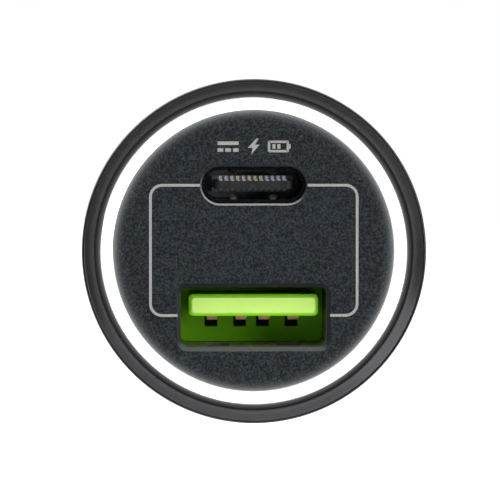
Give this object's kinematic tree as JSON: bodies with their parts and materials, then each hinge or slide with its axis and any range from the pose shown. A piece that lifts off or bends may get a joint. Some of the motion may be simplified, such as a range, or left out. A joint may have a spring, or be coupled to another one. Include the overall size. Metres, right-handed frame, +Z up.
{
  "type": "car usb charger plug",
  "caption": "Car charger plug: a round head with a light ring round a face with a USB-C and a USB-A port, on a barrel with side spring contacts and a sprung tip.",
  "frame": {"origin": "on the plug's axis, in the plane of the shoulder where the straight barrel leaves the head", "axes": "+Y along the barrel towards the tip contact, -Y out of the face with the ports, +Z up with the USB-C port above the USB-A port, +X to the right of somebody behind the plug who looks along +Y at its face"},
  "size_m": [0.0294, 0.0669, 0.0294],
  "materials": {
    "head_metal": "satin",
    "black_plastic": "satin",
    "face_plastic": "matte",
    "ring_white": "satin",
    "led_yellow": "satin",
    "board_green": "satin",
    "nickel_sheet": "satin",
    "lime_plastic": "satin",
    "gold_plate": "polished",
    "tongue_grey": "matte",
    "coil_grey": "matte",
    "chip_black": "matte",
    "can_sleeve": "gloss",
    "can_aluminium": "satin",
    "fuse_ceramic": "matte",
    "brass_plate": "satin",
    "spring_steel": "polished",
    "tip_nickel": "polished",
    "contact_steel": "polished"
  },
  "bodies": {
    "plug": {"head_shell": "head_metal", "barrel_shell": "black_plastic", "face_plate": "face_plastic", "light_ring": "ring_white", "leds": "led_yellow", "port_board": "board_green", "usb_a_shell": "nickel_sheet", "usb_a_tongue": "lime_plastic", "usb_a_contacts": "gold_plate", "usb_c_shell": "nickel_sheet", "usb_c_tongue": "tongue_grey", "usb_c_contacts": "gold_plate", "main_board": "board_green", "inductors": "coil_grey", "power_chips": "chip_black", "input_capacitor": "can_sleeve", "output_capacitors": "can_aluminium", "fuse": "fuse_ceramic", "spring_plate": "brass_plate", "tip_spring": "spring_steel", "nose_ring": "black_plastic"},
    "tip": {"tip_contact": "tip_nickel"},
    "contact_left": {"side_contact_left": "contact_steel"},
    "contact_right": {"side_contact_right": "contact_steel"}
  },
  "joints": [
    {"name": "tip_press", "type": "slide", "parent": "plug", "child": "tip", "axis": [0, -1, 0], "range_m": [0, 0.0025], "stiffness_N_per_m": 800, "springref_m": -0.001, "deforming": ["tip_spring"]},
    {"name": "contact_left_press", "type": "hinge", "parent": "plug", "child": "contact_left", "pos_m": [-0.00793, 0.0292, 0], "axis": [0, 0, 1], "range_deg": [0, 6.5], "stiffness_Nm_per_rad": 0.15, "springref_deg": -2.86},
    {"name": "contact_right_press", "type": "hinge", "parent": "plug", "child": "contact_right", "pos_m": [0.00793, 0.0292, 0], "axis": [0, 0, -1], "range_deg": [0, 6.5], "stiffness_Nm_per_rad": 0.15, "springref_deg": -2.86}
  ]
}
